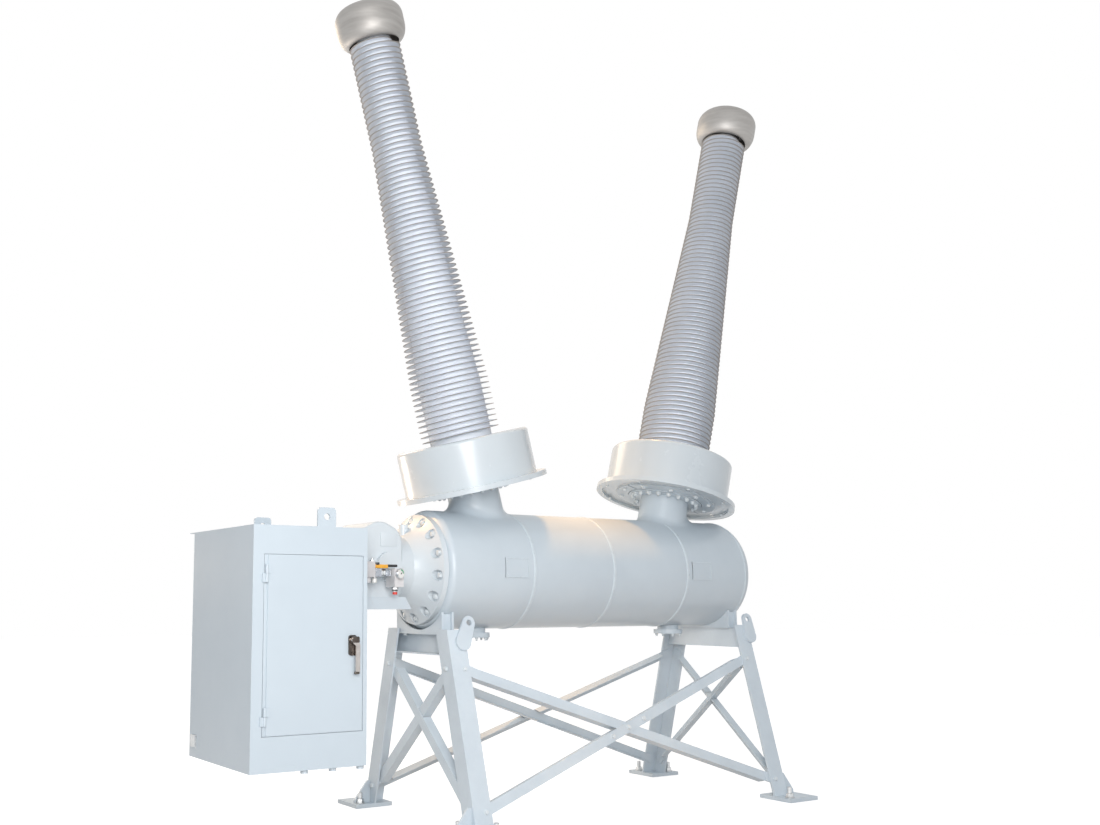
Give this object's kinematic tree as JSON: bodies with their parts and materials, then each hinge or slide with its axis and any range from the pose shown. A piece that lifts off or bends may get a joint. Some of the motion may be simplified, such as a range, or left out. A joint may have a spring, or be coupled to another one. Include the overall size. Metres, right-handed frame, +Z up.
{
  "type": "gas insulated circuit breaker pole",
  "caption": "Dead tank gas breaker pole: a pressure tank on a braced splayed stand, leaning ribbed bushings with drums and corona shields, and a hung cabinet with a hinged door.",
  "frame": {"origin": "on the ground at the centre of the four feet's anchor holes", "axes": "+Z up; +X along the tank, away from the cabinet; the cabinet's door faces -Y"},
  "size_m": [3.6146, 1.296, 4.2494],
  "materials": {
    "grey_paint": "satin",
    "stand_paint": "satin",
    "cabinet_paint": "satin",
    "silicone": "matte",
    "spun_aluminium": "satin",
    "bare_steel": "brushed",
    "black_plastic": "matte",
    "handle_chrome": "polished",
    "brass_fitting": "satin",
    "lever_paint": "gloss",
    "monitor_case": "satin"
  },
  "bodies": {
    "breaker": {"tank_shell": "grey_paint", "tank_head": "grey_paint", "bell_housing": "grey_paint", "tank_ports": "grey_paint", "drum_base_left": "grey_paint", "drum_base_right": "grey_paint", "turret_flanges": "grey_paint", "clamp_plates_left": "grey_paint", "clamp_plates_right": "grey_paint", "drum_left": "grey_paint", "drum_right": "grey_paint", "support_arms": "grey_paint", "leg_lugs": "grey_paint", "leg_back_left": "stand_paint", "leg_back_right": "stand_paint", "leg_front_left": "stand_paint", "leg_front_right": "stand_paint", "cross_beam_left": "stand_paint", "cross_beam_right": "stand_paint", "saddle_left": "stand_paint", "saddle_right": "stand_paint", "front_brace_rising": "stand_paint", "front_brace_falling": "stand_paint", "back_brace_rising": "stand_paint", "back_brace_falling": "stand_paint", "left_brace_rising": "stand_paint", "left_brace_falling": "stand_paint", "right_brace_rising": "stand_paint", "right_brace_falling": "stand_paint", "cabinet_floor": "cabinet_paint", "cabinet_roof": "cabinet_paint", "cabinet_left_wall": "cabinet_paint", "cabinet_right_wall": "cabinet_paint", "cabinet_back_wall": "cabinet_paint", "front_left_panel": "cabinet_paint", "front_right_panel": "cabinet_paint", "front_top_panel": "cabinet_paint", "front_bottom_panel": "cabinet_paint", "cabinet_lugs": "cabinet_paint", "door_frame": "cabinet_paint", "hinge_pins": "cabinet_paint", "insulator_left": "silicone", "insulator_right": "silicone", "corona_shield_left": "spun_aluminium", "corona_shield_right": "spun_aluminium", "terminal_left": "spun_aluminium", "terminal_right": "spun_aluminium", "ground_pad": "bare_steel", "floor_drains": "bare_steel", "gas_boss": "bare_steel", "pressure_switch": "black_plastic", "gas_valve": "brass_fitting", "density_monitor": "monitor_case"},
    "cabinet_door": {"cabinet_door": "cabinet_paint", "door_knuckles": "cabinet_paint", "handle_plate": "black_plastic"},
    "door_handle": {"door_handle": "handle_chrome"},
    "valve_lever": {"valve_lever": "lever_paint"}
  },
  "joints": [
    {"name": "door_hinge", "type": "hinge", "parent": "breaker", "child": "cabinet_door", "pos_m": [-2.032, -0.378, 0.895], "axis": [0, 0, -1], "range_deg": [0, 110]},
    {"name": "handle_turn", "type": "hinge", "parent": "cabinet_door", "child": "door_handle", "pos_m": [-1.603, -0.386, 0.907], "axis": [0, 1, 0], "range_deg": [0, 90]},
    {"name": "valve_turn", "type": "hinge", "parent": "breaker", "child": "valve_lever", "pos_m": [-1.412, -0.252, 1.2515], "axis": [0, 0, -1], "range_deg": [0, 90]}
  ]
}
